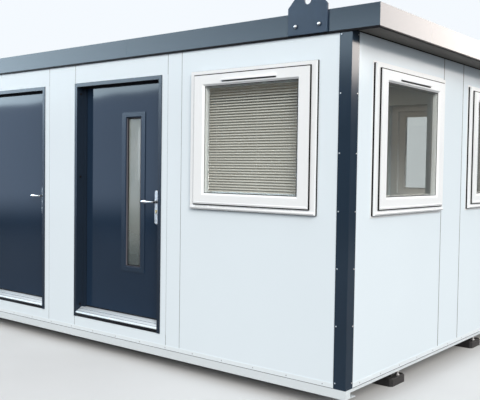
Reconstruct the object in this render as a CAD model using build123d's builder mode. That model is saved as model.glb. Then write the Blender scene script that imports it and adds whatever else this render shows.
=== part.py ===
import os
from math import radians, tan

from build123d import *

os.makedirs("parts", exist_ok=True)

# Portable site cabin. Millimetres, +Z up. The origin is on the ground under the middle of the
# plan. The front wall faces -Y and the right-hand end wall faces +X.

# Plan and heights
length = 6058.0            # outside faces of the two end walls
width = 3380.0             # outside faces of the front and back walls
wall_thickness = 125.0
underside = 100.0          # ground to the bottom of the long base rails
wall_foot = 160.0          # bottom of the wall panels
floor_top = 355.0
wall_head = 2600.0         # top of the wall panels, underside of the roof panel

# Feet, bearers and floor
bearer_inset = 890.0       # long wall's face to the middle of a bearer
foot_inset = 149.0         # end wall's face to the middle of the outer feet
foot_length = 200.0        # along X
foot_width = 230.0         # along Y
foot_neck_width = 120.0
pad_height = 62.0
pad_corner_cut = 20.0
pad_chamfer = 8.0
stud_diameter = 24.0
bearer_width = 110.0
bearer_plate = 8.0
joist_width = 60.0
joist_plate = 4.0
joist_count = 11
joist_ends = 60.0          # end wall's inner face to the first joist
joist_gap = 8.0            # joist to the long walls' inner faces
deck_thickness = 22.0

# Base rails and the flashing over the foot of the walls
rail_proud = 8.0
rail_plate = 4.0
rail_shelf = 60.0          # how far the top flange runs in under the joists
rail_cap = 54.0            # width of the cap that closes a rail's end
end_rail_drop = 19.0       # height of the shallow end rail
end_rail_shelf = 80.0      # how far its top flange runs in under the end wall
flashing_height = 33.0
flashing_plate = 2.0
flashing_gap = 2.0         # between rail and flashing

# Corner angles
angle_leg = 92.0
angle_plate = 3.0
joint_chamfer = 3.0        # bevel on the outer edges of each wall panel

# Bays of the long walls, from the middle outwards, and of the end walls
middle_strip_width = 380.0
door_bay_width = 1161.0
narrow_strip_width = 153.0
end_bay_width = 1487.0     # from a corner inwards

# Windows, placed by the panel left showing between each frame and its bay's edges
window_height = 1052.0
window_sill_height = 1322.0
long_margin_inner = 126.5
long_margin_outer = 252.5
near_margin_inner = 37.0   # right end wall's window by the front corner
near_margin_outer = 304.0
far_margin_inner = 120.0   # and its window by the back corner
far_margin_outer = 221.0
frame_jamb_width = 42.0    # visible faces of the outer frame
frame_head_width = 30.0
frame_cill_width = 38.0
frame_proud = 28.0
frame_back = 50.0
frame_rebate = 16.0        # depth behind the wall face where the sash seats
frame_seat = 34.0          # how far the frame runs in behind the sash
sash_gap = 5.0
sash_stile_width = 99.0
sash_rail_width = 82.0
sash_proud = 45.0
seat_gap = 0.5
bead_chamfer = 14.0
glass_front = 30.0
glass_thickness = 24.0
vent_length = 500.0
vent_height = 15.0
vent_depth = 13.0
vent_rise = 31.0           # above the glass
blind_setback = 62.0
blind_depth = 25.0
blind_margin = 70.0        # window frame's outer edge to the blind
blind_drop_height = 1000.0

# Doors
door_width = 1097.0        # outside of the steel frame
door_height = 2100.0
door_foot_height = 282.0   # bottom of the frame
door_face_width = 32.0
door_proud = 8.0
door_recess_depth = 85.0   # wall face to leaf face
stop_jamb_width = 33.0
stop_head_width = 14.0
stop_thickness = 16.0
stop_gap = 5.0
leaf_thickness = 44.0
leaf_lap = 14.0            # how far the leaf laps behind the stop
hinge_gap = 5.0
latch_gap = 7.0
head_gap = 6.0
frame_inner = 1.0          # frame past the leaf's inner face
frame_bottom_height = 30.0
bottom_setback_depth = 6.0
threshold_height = 50.0
threshold_nose_length = 4.0
threshold_gap = 6.0

# Vision panel of the right-hand door
vision_width = 288.0
vision_height = 1365.0
vision_inset = 369.0       # lock edge of the leaf to the middle of the panel
vision_middle_height = 1423.0
vision_lap_width = 29.0    # moulding over the leaf
vision_bead_width = 29.0   # moulding inside the cut-out, at the sides
vision_end_width = 18.0    # and at its head and foot
vision_proud = 6.0
vision_chamfer = 10.0
vision_glass_thickness = 6.0

# Lever sets
lever_inset = 81.0         # lock edge of the leaf to the spindle
lever_height = 1352.0
plate_width = 44.0
plate_height = 285.0
plate_thickness = 9.0
plate_chamfer = 3.0
plate_drop_height = 46.0   # plate's middle below the lever
lever_length = 140.0
lever_diameter = 19.0
lever_standoff = 58.0
lever_bend_length = 20.0   # from the square corner to where each side of the bend starts
lever_chamfer = 3.0
boss_diameter = 26.0
boss_length = 12.0
boss_clearance = 0.05
spindle_diameter = 10.0
spindle_clearance = 1.0

# Hinges
barrel_radius = 8.0
pin_radius = 4.0
pin_clearance = 0.05
hinge_height = 100.0
hinge_plate_thickness = 3.0
hinge_wing_width = 36.0
knuckle_gap = 0.5
knuckle_clearance = 1.5
hinge_foot_height = 230.0  # above the leaf's foot
hinge_pitch = 755.0
hinge_count = 3

# Roof
roof_thickness = 80.0
roof_proud = 10.0          # roof panel past the front and back walls
roof_overhang = 205.0      # roof panel past the end walls
fascia_plate = 2.0
fascia_drop = 43.0         # foot of the fascia below the roof panel
fascia_height = 149.0
fascia_flange_width = 50.0
fascia_lip_width = 8.0
end_lip_width = 30.0
fascia_length = 1976.0
fascia_corner_length = 384.0   # outer face of the end fascia to the first joint
fascia_joint = 1.0
soffit_thickness = 8.0
ceiling_thickness = 12.0
sheet_thickness = 2.0
sheet_gap = 2.0            # sheet to the inside of the fascia
rib_pitch = 333.0
rib_height = 20.0
rib_foot_width = 44.0
rib_top_width = 24.0

# Lifting plates
lifting_width = 322.0
lifting_inset = 177.0      # plate's outer edge in from the end wall
lifting_thickness = 12.0
lifting_shoulder_height = 38.0   # straight sides above the fascia
lifting_height = 135.0     # top of the plate above the fascia
lifting_taper_angle = 43.0   # degrees from vertical
lifting_radius = 18.0
eye_radius = 27.0
eye_height = 78.0          # above the fascia

# Faces of the four walls: x runs left to right seen from outside, y is up, z points out
front_wall = Plane(origin=(0, -width / 2, 0), x_dir=(1, 0, 0), z_dir=(0, -1, 0))
back_wall = Plane(origin=(0, width / 2, 0), x_dir=(-1, 0, 0), z_dir=(0, 1, 0))
right_wall = Plane(origin=(length / 2, 0, 0), x_dir=(0, 1, 0), z_dir=(1, 0, 0))
left_wall = Plane(origin=(-length / 2, 0, 0), x_dir=(0, -1, 0), z_dir=(-1, 0, 0))
half_length = length / 2
half_width = width / 2
inner_half_length = half_length - wall_thickness
inner_half_width = half_width - wall_thickness
bearer_y = half_width - bearer_inset
foot_x = half_length - foot_inset
fascia_foot = wall_head - fascia_drop


def save(piece, name):
    """Label a finished piece and write it under its own name."""
    piece.part.label = name
    export_step(piece.part, f"parts/{name}.step")


def slab(plane, u0, u1, z0, z1, out, back):
    """A flat block on a wall, from out in front of the wall's face to back behind it."""
    with BuildPart() as block:
        with BuildSketch(plane.offset(out)):
            with Locations(((u0 + u1) / 2, (z0 + z1) / 2)):
                Rectangle(u1 - u0, z1 - z0)
        extrude(amount=-(out + back))
    return block.part


def ring(plane, outer, inner, out, back):
    """A rectangular ring on a wall; outer and inner are (u0, u1, z0, z1)."""
    with BuildPart() as hoop:
        with BuildSketch(plane.offset(out)):
            for (u0, u1, z0, z1), mode in ((outer, Mode.ADD), (inner, Mode.SUBTRACT)):
                with Locations(((u0 + u1) / 2, (z0 + z1) / 2)):
                    Rectangle(u1 - u0, z1 - z0, mode=mode)
        extrude(amount=-(out + back))
    return hoop.part


def inset(box, side, head, foot):
    """A rectangle (u0, u1, z0, z1) drawn in by its own margins."""
    u0, u1, z0, z1 = box
    return (u0 + side, u1 - side, z0 + foot, z1 - head)


def wall_panel(plane, u0, u1, z0, z1, window=None):
    """An insulated panel with bevelled outer joints and, where given, a window cut-out."""
    with BuildPart() as panel:
        add(slab(plane, u0, u1, z0, z1, 0, wall_thickness))
        outer = panel.faces().sort_by(Axis(plane.origin, plane.z_dir))[-1]
        chamfer(outer.edges().filter_by(Axis.Z), length=joint_chamfer)
        if window is not None:
            add(slab(plane, *window, 0, wall_thickness), mode=Mode.SUBTRACT)
    return panel.part


# Feet: a dark pad under each bearer, with a bright screwed stud beside its neck
foot_places = [(x, y) for x in (-foot_x, 0, foot_x) for y in (-bearer_y, bearer_y)]
with BuildPart() as support_feet:
    with BuildSketch() as pads:
        with Locations(*foot_places):
            Rectangle(foot_length, foot_width)
        chamfer(pads.vertices(), length=pad_corner_cut)
    extrude(amount=pad_height)
    chamfer(support_feet.faces().filter_by(Axis.Z).group_by(Axis.Z)[-1].edges(), length=pad_chamfer)
    with BuildSketch(Plane.XY.offset(pad_height)):
        with Locations(*foot_places):
            Rectangle(foot_neck_width, bearer_width)
    extrude(amount=underside - pad_height)
save(support_feet, "support_feet")

# The studs stand on the pads beside the bearers, as high as the bearer's top
stud_out = bearer_width / 2 + stud_diameter
with BuildPart() as foot_studs:
    with BuildSketch(Plane.XY.offset(pad_height)):
        with Locations(*[(x, y + stud_out) for x, y in foot_places]):
            RegularPolygon(stud_diameter / 2, 12)
    extrude(amount=wall_foot - pad_height)
save(foot_studs, "foot_studs")

# Two bearers run the length of the cabin over the feet: I-sections
bearer_length = length - 2 * end_rail_shelf
with BuildPart() as chassis_bearers:
    for y in (-bearer_y, bearer_y):
        with BuildSketch(Plane.YZ.offset(-bearer_length / 2)):
            with Locations((y, underside + bearer_plate / 2), (y, wall_foot - bearer_plate / 2)):
                Rectangle(bearer_width, bearer_plate)
            with Locations((y, (underside + wall_foot) / 2)):
                Rectangle(bearer_plate, wall_foot - underside)
        extrude(amount=bearer_length)
save(chassis_bearers, "chassis_bearers")

# Long base rails: folded channels that show as the white skirt under the front and back
rail_half = half_length + rail_proud
rail_web = rail_plate - rail_proud
with BuildPart() as base_rails_long:
    for plane in (front_wall, back_wall):
        foot_flange = (underside, underside + rail_plate, wall_thickness)
        head_flange = (wall_foot - rail_plate, wall_foot, wall_thickness + rail_shelf)
        web = (underside, wall_foot, rail_web)
        for z0, z1, back in (foot_flange, head_flange, web):
            add(slab(plane, -rail_half, rail_half, z0, z1, rail_proud, back))
    for plane in (right_wall, left_wall):
        for side in (-1, 1):
            edges = sorted((side * (half_width + rail_proud), side * (half_width - rail_cap)))
            add(slab(plane, *edges, underside, wall_foot - end_rail_drop, rail_proud, rail_web))
save(base_rails_long, "base_rails_long")

# End base rails: shallow angles between the long ones
end_web_half = half_width + rail_proud - rail_plate
end_shelf_half = inner_half_width - rail_shelf
with BuildPart() as base_rails_end:
    for plane in (right_wall, left_wall):
        drop = wall_foot - end_rail_drop
        shelf = wall_foot - rail_plate
        add(slab(plane, -end_web_half, end_web_half, drop, shelf, rail_proud, rail_web))
        add(slab(plane, -end_shelf_half, end_shelf_half, shelf, wall_foot, rail_proud, end_rail_shelf))
save(base_rails_end, "base_rails_end")

# Floor joists: channels across the cabin, on the rails' shelves and the bearers
joist_top = floor_top - deck_thickness
joist_first = inner_half_length - joist_ends
joist_pitch = 2 * joist_first / (joist_count - 1)
joist_height = joist_top - wall_foot
joist_half = inner_half_width - joist_gap
with BuildPart() as floor_joists:
    for number in range(joist_count):
        x = -joist_first + number * joist_pitch
        with BuildSketch(Plane.XZ.offset(-joist_half)):
            with Locations((x, wall_foot + joist_height / 2)):
                Rectangle(joist_width, joist_height)
            with Locations((x + joist_plate, wall_foot + joist_height / 2)):
                Rectangle(joist_width, joist_height - 2 * joist_plate, mode=Mode.SUBTRACT)
        extrude(amount=2 * joist_half)
save(floor_joists, "floor_joists")

# Where the bays of a long wall begin and end, from its middle outwards
middle_half = middle_strip_width / 2
bay_in = middle_half + door_bay_width
bay_out = bay_in + narrow_strip_width
right_frame = middle_half            # left edges of the two door frames
left_frame = -bay_in

# Outsides of the window frames on each wall, as (u0, u1, z0, z1)
end_strip_half = half_width - end_bay_width
window_z = (window_sill_height, window_sill_height + window_height)
long_right = (bay_out + long_margin_inner, half_length - long_margin_outer, *window_z)
long_left = (long_margin_outer - half_length, -bay_out - long_margin_inner, *window_z)
right_near = (near_margin_outer - half_width, -end_strip_half - near_margin_inner, *window_z)
right_far = (end_strip_half + far_margin_inner, half_width - far_margin_outer, *window_z)
left_near = (end_strip_half + near_margin_inner, half_width - near_margin_outer, *window_z)
left_far = (far_margin_outer - half_width, -end_strip_half - far_margin_inner, *window_z)

# Levels and depths of a door set
door_head = door_foot_height + door_height
leaf_left = door_face_width + stop_jamb_width - leaf_lap   # from the frame's left edge
leaf_right = door_width - leaf_left
leaf_head = door_head - door_face_width - stop_head_width + leaf_lap
leaf_foot = door_foot_height + frame_bottom_height + threshold_height + threshold_gap
leaf_back = door_recess_depth + leaf_thickness
stop_back = door_recess_depth - stop_gap
stop_front = stop_back - stop_thickness
frame_depth = leaf_back + frame_inner
sill_z = door_foot_height + frame_bottom_height

# Floor deck over the joists, wall to wall, notched for the backs of the door frames
with BuildPart() as floor_deck:
    with BuildSketch(Plane.XY.offset(joist_top)):
        Rectangle(2 * inner_half_length, 2 * inner_half_width)
    extrude(amount=deck_thickness)
    for u in (right_frame, left_frame):
        add(slab(front_wall, u, u + door_width, joist_top, floor_top, 0, frame_depth), mode=Mode.SUBTRACT)
save(floor_deck, "floor_deck")

# Base flashings over the foot of the walls, between the corner angles
flashing_foot = wall_foot + flashing_gap
with BuildPart() as base_flashings:
    for plane in (front_wall, back_wall, right_wall, left_wall):
        u = (half_length if plane in (front_wall, back_wall) else half_width) - angle_leg
        add(slab(plane, -u, u, flashing_foot, flashing_foot + flashing_height, flashing_plate, 0))
save(base_flashings, "base_flashings")

# Corner angles, from the base rails up to the fascia
with BuildPart() as corner_angles:
    for sx in (-1, 1):
        for sy in (-1, 1):
            x, y = sx * (half_length + angle_plate), sy * (half_width + angle_plate)
            leg = angle_leg + angle_plate
            with BuildSketch(Plane.XY.offset(wall_foot)):
                with Locations((x - sx * leg / 2, y - sy * angle_plate / 2)):
                    Rectangle(leg, angle_plate)
                with Locations((x - sx * angle_plate / 2, y - sy * leg / 2)):
                    Rectangle(angle_plate, leg)
            extrude(amount=fascia_foot - wall_foot)
save(corner_angles, "corner_angles")

# Front wall: window panels at the corners, strips between the bays, and door bays in pieces
with BuildPart() as front_wall_window_panels:
    add(wall_panel(front_wall, bay_out, half_length, wall_foot, wall_head, long_right))
    add(wall_panel(front_wall, -half_length, -bay_out, wall_foot, wall_head, long_left))
save(front_wall_window_panels, "front_wall_window_panels")

with BuildPart() as front_wall_strips:
    add(wall_panel(front_wall, bay_in, bay_out, wall_foot, wall_head))
    add(wall_panel(front_wall, -middle_half, middle_half, wall_foot, wall_head))
    add(wall_panel(front_wall, -bay_out, -bay_in, wall_foot, wall_head))
save(front_wall_strips, "front_wall_strips")

with BuildPart() as front_wall_over_doors:
    for frame_left in (right_frame, left_frame):
        add(wall_panel(front_wall, frame_left, frame_left + door_bay_width, door_head, wall_head))
save(front_wall_over_doors, "front_wall_over_doors")

with BuildPart() as front_wall_under_doors:
    for frame_left in (right_frame, left_frame):
        add(wall_panel(front_wall, frame_left, frame_left + door_bay_width, wall_foot, door_foot_height))
save(front_wall_under_doors, "front_wall_under_doors")

with BuildPart() as front_wall_beside_doors:
    for frame_left in (right_frame, left_frame):
        u0, u1 = frame_left + door_width, frame_left + door_bay_width
        add(slab(front_wall, u0, u1, door_foot_height, door_head, 0, wall_thickness))
save(front_wall_beside_doors, "front_wall_beside_doors")

# Back wall: the same bays, with whole panels where the front has doors
with BuildPart() as back_wall_panels:
    add(wall_panel(back_wall, bay_out, half_length, wall_foot, wall_head, long_right))
    add(wall_panel(back_wall, middle_half, bay_in, wall_foot, wall_head))
    add(wall_panel(back_wall, -bay_in, -middle_half, wall_foot, wall_head))
    add(wall_panel(back_wall, -half_length, -bay_out, wall_foot, wall_head, long_left))
save(back_wall_panels, "back_wall_panels")

with BuildPart() as back_wall_strips:
    add(wall_panel(back_wall, bay_in, bay_out, wall_foot, wall_head))
    add(wall_panel(back_wall, -middle_half, middle_half, wall_foot, wall_head))
    add(wall_panel(back_wall, -bay_out, -bay_in, wall_foot, wall_head))
save(back_wall_strips, "back_wall_strips")

# End walls, between the long walls: two window panels and a plain strip
end_windows = {"right": (right_near, right_far), "left": (left_far, left_near)}
for side, plane in (("right", right_wall), ("left", left_wall)):
    low, high = end_windows[side]
    with BuildPart() as end_wall_panels:
        add(wall_panel(plane, -inner_half_width, -end_strip_half, wall_foot, wall_head, low))
        add(wall_panel(plane, end_strip_half, inner_half_width, wall_foot, wall_head, high))
    save(end_wall_panels, f"{side}_wall_panels")
    with BuildPart() as end_wall_strip:
        add(wall_panel(plane, -end_strip_half, end_strip_half, wall_foot, wall_head))
    save(end_wall_strip, f"{side}_wall_strip")


# Windows: a moulded frame with a seat, a sash on that seat, and a sealed glass unit
def window_frame(plane, outside):
    mouth = inset(outside, frame_jamb_width, frame_head_width, frame_cill_width)
    with BuildPart() as frame:
        add(ring(plane, outside, mouth, frame_proud, frame_back))
        throat = inset(mouth, frame_seat, frame_seat, frame_seat)
        add(ring(plane, outside, throat, -frame_rebate, frame_back))
    return frame.part


def sash_box(window):
    mouth = inset(window, frame_jamb_width, frame_head_width, frame_cill_width)
    return inset(mouth, sash_gap, sash_gap, sash_gap)


def window_sash(plane, window):
    outside = sash_box(window)
    pane = inset(outside, sash_stile_width, sash_rail_width, sash_rail_width)
    with BuildPart() as sash:
        add(ring(plane, outside, pane, sash_proud, frame_rebate - seat_gap))
        front = sash.faces().sort_by(Axis(plane.origin, plane.z_dir))[-1]
        chamfer(front.inner_wires()[0].edges(), length=bead_chamfer)
    return sash.part


def window_glass(plane, window):
    pane = inset(sash_box(window), sash_stile_width, sash_rail_width, sash_rail_width)
    return slab(plane, *pane, glass_front, glass_thickness - glass_front)


def window_vent(plane, window):
    foot = sash_box(window)[3] - sash_rail_width + vent_rise
    middle = (window[0] + window[1]) / 2
    u0, u1 = middle - vent_length / 2, middle + vent_length / 2
    return slab(plane, u0, u1, foot, foot + vent_height, sash_proud + vent_depth, -sash_proud)


walls = (
    (front_wall, (long_left, long_right)),
    (back_wall, (long_left, long_right)),
    (right_wall, end_windows["right"]),
    (left_wall, end_windows["left"]),
)
kinds = {"frames": window_frame, "sashes": window_sash, "glass": window_glass, "vents": window_vent}
for kind, make in kinds.items():
    with BuildPart() as windows:
        for plane, places in walls:
            for place in places:
                add(make(plane, place))
    save(windows, f"window_{kind}")

# Lowered blinds behind the two front windows, hung from the head of each reveal
blind_foot = window_z[1] - blind_drop_height
with BuildPart() as front_window_blinds:
    for u0, u1, z0, z1 in (long_left, long_right):
        blind = (u0 + blind_margin, u1 - blind_margin, blind_foot, z1)
        add(slab(front_wall, *blind, -blind_setback, blind_setback + blind_depth))
save(front_window_blinds, "front_window_blinds")


# Door frames: welded steel rings of three depths, face, stop and rebate
def door_frame(left):
    right = left + door_width
    outside = (left, right, door_foot_height, door_head)
    face = (left + door_face_width, right - door_face_width, sill_z, door_head - door_face_width)
    stop = inset(face, stop_jamb_width, stop_head_width, 0)
    rebate = (left + leaf_left - hinge_gap, left + leaf_right + latch_gap, sill_z, leaf_head + head_gap)
    with BuildPart() as frame:
        add(ring(front_wall, outside, face, door_proud, stop_front))
        add(ring(front_wall, outside, stop, -stop_front, stop_back))
        add(ring(front_wall, outside, rebate, -stop_back, frame_depth))
        setback = door_proud - bottom_setback_depth
        step = slab(front_wall, face[0], face[1], door_foot_height, sill_z, door_proud, -setback)
        add(step, mode=Mode.SUBTRACT)
    return frame.part


def threshold(left):
    u0, u1 = left + door_face_width, left + door_width - door_face_width
    z1 = sill_z + threshold_height
    with BuildPart() as bar:
        add(slab(front_wall, u0, u1, sill_z, z1, door_proud + threshold_nose_length, stop_front))
        u0, u1 = u0 + stop_jamb_width, u1 - stop_jamb_width
        add(slab(front_wall, u0, u1, sill_z, z1, -stop_front, frame_depth))
    return bar.part


# Hinges stand on the inner faces of frame and leaf, with the pin in the frame's half
pivot_u = leaf_left - hinge_gap / 2
pivot_y = -half_width + leaf_back + frame_inner + barrel_radius
knuckle = hinge_height / 3
hinge_levels = [leaf_foot + hinge_foot_height + number * hinge_pitch for number in range(hinge_count)]
wing_gap = barrel_radius + knuckle_clearance


def post(x, y, z0, z1, radius):
    with BuildPart() as rod:
        with BuildSketch(Plane.XY.offset(z0)):
            with Locations((x, y)):
                Circle(radius)
        extrude(amount=z1 - z0)
    return rod.part


def barrel(x, z0, z1):
    """A hinge knuckle with twelve flats."""
    with BuildPart() as knuckle_part:
        with BuildSketch(Plane.XY.offset(z0)):
            with Locations((x, pivot_y)):
                RegularPolygon(barrel_radius, 12)
        extrude(amount=z1 - z0)
    return knuckle_part.part


def frame_hinge(left, z):
    """Two outer knuckles, their pin and the wing on the frame."""
    x = left + pivot_u
    back = frame_depth + hinge_plate_thickness
    with BuildPart() as half:
        add(slab(front_wall, x - hinge_wing_width, x - wing_gap, z, z + hinge_height, -frame_depth, back))
        for z0, z1 in ((z, z + knuckle - knuckle_gap), (z + 2 * knuckle + knuckle_gap, z + hinge_height)):
            add(slab(front_wall, x - wing_gap, x, z0, z1, -frame_depth, back))
            add(barrel(x, z0, z1))
        add(post(x, pivot_y, z, z + hinge_height, pin_radius))
    return half.part


def leaf_hinge(left, z):
    """The middle knuckle, bored for the pin, and the wing on the leaf."""
    x = left + pivot_u
    z0, z1 = z + knuckle, z + 2 * knuckle
    back = leaf_back + hinge_plate_thickness
    with BuildPart() as half:
        add(slab(front_wall, x + wing_gap, x + hinge_wing_width, z, z + hinge_height, -leaf_back, back))
        add(slab(front_wall, x, x + wing_gap, z0, z1, -leaf_back, back))
        add(barrel(x, z0, z1))
        add(post(x, pivot_y, z0, z1, pin_radius + pin_clearance), mode=Mode.SUBTRACT)
    return half.part


# Lever sets: a long plate on each face of the leaf and one pair of levers on a spindle
lever_u = leaf_right - lever_inset
plate_z = lever_height - plate_drop_height
outer_y = -half_width + door_recess_depth


def across(u, z, out, back, radius):
    """A rod square to the front wall."""
    with BuildPart() as rod:
        with BuildSketch(front_wall.offset(out)):
            with Locations((u, z)):
                Circle(radius)
        extrude(amount=-(out + back))
    return rod.part


def back_plate(left, out, back, shown):
    """One rounded plate, bevelled on the face that shows and bored for the lever's boss."""
    with BuildPart() as plate:
        with BuildSketch(front_wall.offset(out)):
            with Locations((left + lever_u, plate_z)):
                SlotOverall(plate_height, plate_width, rotation=90)
        extrude(amount=-(out + back))
        chamfer(plate.faces().sort_by(Axis.Y)[shown].edges(), length=plate_chamfer)
        bore = boss_diameter / 2 + boss_clearance
        add(across(left + lever_u, lever_height, out, back, bore), mode=Mode.SUBTRACT)
    return plate.part


def lever(x, start_y):
    """One bent bar on its boss, from a start just clear of the leaf's outer face."""
    start = (x, start_y, lever_height)
    bar_y = outer_y - lever_standoff
    bend = (x, bar_y + lever_bend_length, lever_height), (x - lever_bend_length, bar_y, lever_height)
    tip = (x - lever_length, bar_y, lever_height)
    with BuildPart() as bar:
        with BuildLine() as route:
            Polyline(start, *bend, tip)
        with BuildSketch(Plane(origin=start, x_dir=(1, 0, 0), z_dir=(0, -1, 0))):
            Circle(lever_diameter / 2)
        sweep(path=route.wire(), transition=Transition.RIGHT)
        chamfer(bar.faces().sort_by(Axis.X)[0].edges(), length=lever_chamfer)
        with BuildSketch(Plane(origin=start, x_dir=(1, 0, 0), z_dir=(0, -1, 0))):
            Circle(boss_diameter / 2)
        extrude(amount=boss_length)
    return bar.part


def lever_pair(left):
    """Outer lever, spindle and inner lever, one piece that turns together."""
    x = left + lever_u
    with BuildPart() as pair:
        add(lever(x, outer_y - spindle_clearance))
        mirror(about=Plane(origin=(0, outer_y + leaf_thickness / 2, 0), z_dir=(0, 1, 0)))
        reach = leaf_back + spindle_clearance
        add(across(x, lever_height, spindle_clearance - door_recess_depth, reach, spindle_diameter / 2))
    return pair.part


def leaf_blank(left):
    """The flat steel leaf, bored for the spindle."""
    with BuildPart() as leaf:
        u0, u1 = left + leaf_left, left + leaf_right
        add(slab(front_wall, u0, u1, leaf_foot, leaf_head, -door_recess_depth, leaf_back))
        bore = spindle_diameter / 2 + spindle_clearance
        add(across(left + lever_u, lever_height, -door_recess_depth, leaf_back, bore), mode=Mode.SUBTRACT)
    return leaf.part


# The two door sets, each built from its frame's left edge
frames = {"right": right_frame, "left": left_frame}
for side, left in frames.items():
    with BuildPart() as frame:
        add(door_frame(left))
    save(frame, f"{side}_door_frame")
    with BuildPart() as plates:
        add(back_plate(left, plate_thickness - door_recess_depth, door_recess_depth, 0))
        add(back_plate(left, -leaf_back, leaf_back + plate_thickness, -1))
    save(plates, f"{side}_door_plates")
    with BuildPart() as levers:
        add(lever_pair(left))
    save(levers, f"{side}_door_levers")
    with BuildPart() as hinges:
        for level in hinge_levels:
            add(leaf_hinge(left, level))
    save(hinges, f"{side}_door_hinges")

with BuildPart() as door_thresholds:
    for left in frames.values():
        add(threshold(left))
save(door_thresholds, "door_thresholds")

with BuildPart() as frame_hinges:
    for left in frames.values():
        for level in hinge_levels:
            add(frame_hinge(left, level))
save(frame_hinges, "frame_hinges")

with BuildPart() as left_door_leaf:
    add(leaf_blank(left_frame))
save(left_door_leaf, "left_door_leaf")

# The right-hand leaf has a tall vision panel between two mouldings
vision_u = right_frame + leaf_right - vision_inset
vision_out = (
    vision_u - vision_width / 2, vision_u + vision_width / 2,
    vision_middle_height - vision_height / 2, vision_middle_height + vision_height / 2,
)
vision_cut = inset(vision_out, vision_lap_width, vision_lap_width, vision_lap_width)
vision_pane = inset(vision_cut, vision_bead_width, vision_end_width, vision_end_width)
glass_out = door_recess_depth + (leaf_thickness - vision_glass_thickness) / 2
glass_in = glass_out + vision_glass_thickness
with BuildPart() as right_door_leaf:
    add(leaf_blank(right_frame))
    add(slab(front_wall, *vision_cut, -door_recess_depth, leaf_back), mode=Mode.SUBTRACT)
save(right_door_leaf, "right_door_leaf")

with BuildPart() as right_door_glass:
    add(slab(front_wall, *vision_cut, -glass_out, glass_in))
save(right_door_glass, "right_door_glass")

with BuildPart() as right_door_mouldings:
    add(ring(front_wall, vision_out, vision_pane, vision_proud - door_recess_depth, door_recess_depth))
    add(ring(front_wall, vision_cut, vision_pane, -door_recess_depth, glass_out))
    add(ring(front_wall, vision_out, vision_pane, -leaf_back, leaf_back + vision_proud))
    add(ring(front_wall, vision_cut, vision_pane, -glass_in, leaf_back))
    faces = right_door_mouldings.faces().filter_by(Axis.Y).sort_by(Axis.Y)
    for face in (faces[0], faces[-1]):
        chamfer(face.inner_wires()[0].edges(), length=vision_chamfer)
save(right_door_mouldings, "right_door_mouldings")

# Roof panel, its ribbed sheet, and the ceiling lining between the walls
roof_half_x = half_length + roof_overhang
roof_half_y = half_width + roof_proud
roof_top = wall_head + roof_thickness
with BuildPart() as roof_panel:
    with BuildSketch(Plane.XY.offset(wall_head)):
        Rectangle(2 * roof_half_x, 2 * roof_half_y)
    extrude(amount=roof_thickness)
save(roof_panel, "roof_panel")

sheet_half_x = roof_half_x - fascia_flange_width - sheet_gap
sheet_half_y = roof_half_y - fascia_flange_width - sheet_gap
rib_count = 2 * int((sheet_half_x - rib_foot_width) / rib_pitch) + 1
with BuildPart() as roof_sheet:
    with BuildSketch(Plane.XZ.offset(-sheet_half_y)):
        with Locations((0, roof_top + sheet_thickness / 2)):
            Rectangle(2 * sheet_half_x, sheet_thickness)
        with Locations((0, roof_top + sheet_thickness + rib_height / 2)):
            with GridLocations(rib_pitch, 1, rib_count, 1):
                foot, top = rib_foot_width / 2, rib_top_width / 2
                Polygon(
                    (-foot, -rib_height / 2), (foot, -rib_height / 2),
                    (top, rib_height / 2), (-top, rib_height / 2),
                )
    extrude(amount=2 * sheet_half_y)
save(roof_sheet, "roof_sheet")

with BuildPart() as ceiling_lining:
    with BuildSketch(Plane.XY.offset(wall_head - ceiling_thickness)):
        Rectangle(2 * inner_half_length, 2 * inner_half_width)
    extrude(amount=ceiling_thickness)
save(ceiling_lining, "ceiling_lining")

# Fascia: folded channels round the roof panel, in lengths along the front and back
fascia_top = fascia_foot + fascia_height
fascia_x = roof_half_x + fascia_plate
fascia_out = roof_proud + fascia_plate
joint_us = (
    -fascia_x + fascia_corner_length,
    fascia_x - fascia_corner_length - 2 * fascia_length,
    fascia_x - fascia_corner_length - fascia_length,
    fascia_x - fascia_corner_length,
)
with BuildPart() as fascia_long:
    for plane in (front_wall, back_wall):
        web = (fascia_foot, fascia_top, -roof_proud)
        top_flange = (fascia_top - fascia_plate, fascia_top, fascia_flange_width - fascia_out)
        lip = (fascia_foot, fascia_foot + fascia_plate, fascia_lip_width - fascia_out)
        for z0, z1, back in (web, top_flange, lip):
            add(slab(plane, -fascia_x, fascia_x, z0, z1, fascia_out, back))
        for u in joint_us:
            u0, u1 = u - fascia_joint / 2, u + fascia_joint / 2
            cut = slab(plane, u0, u1, fascia_foot, fascia_top, fascia_out, fascia_flange_width)
            add(cut, mode=Mode.SUBTRACT)
save(fascia_long, "fascia_long")

end_out = roof_overhang + fascia_plate
with BuildPart() as fascia_ends:
    for plane in (right_wall, left_wall):
        web_half = roof_half_y
        flange_half = roof_half_y + fascia_plate - fascia_flange_width
        lip_half = roof_half_y + fascia_plate - fascia_lip_width
        top = fascia_top - fascia_plate
        low = fascia_foot + fascia_plate
        add(slab(plane, -flange_half, flange_half, top, fascia_top, end_out, fascia_flange_width - end_out))
        add(slab(plane, -web_half, web_half, low, top, end_out, -roof_overhang))
        add(slab(plane, -lip_half, lip_half, fascia_foot, low, end_out, end_lip_width - end_out))
save(fascia_ends, "fascia_ends")

with BuildPart() as soffits:
    for plane in (right_wall, left_wall):
        z0 = fascia_foot + fascia_plate
        add(slab(plane, -roof_half_y, roof_half_y, z0, z0 + soffit_thickness, roof_overhang, 0))
save(soffits, "soffits")

# Lifting plates: tall shaped plates on the fascia, each with a round eye over the roof
shoulder_z = fascia_top + lifting_shoulder_height
crown_z = fascia_top + lifting_height
crown_half = lifting_width / 2 - (crown_z - shoulder_z) * tan(radians(lifting_taper_angle))
lifting_u = half_length - lifting_inset - lifting_width / 2


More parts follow.
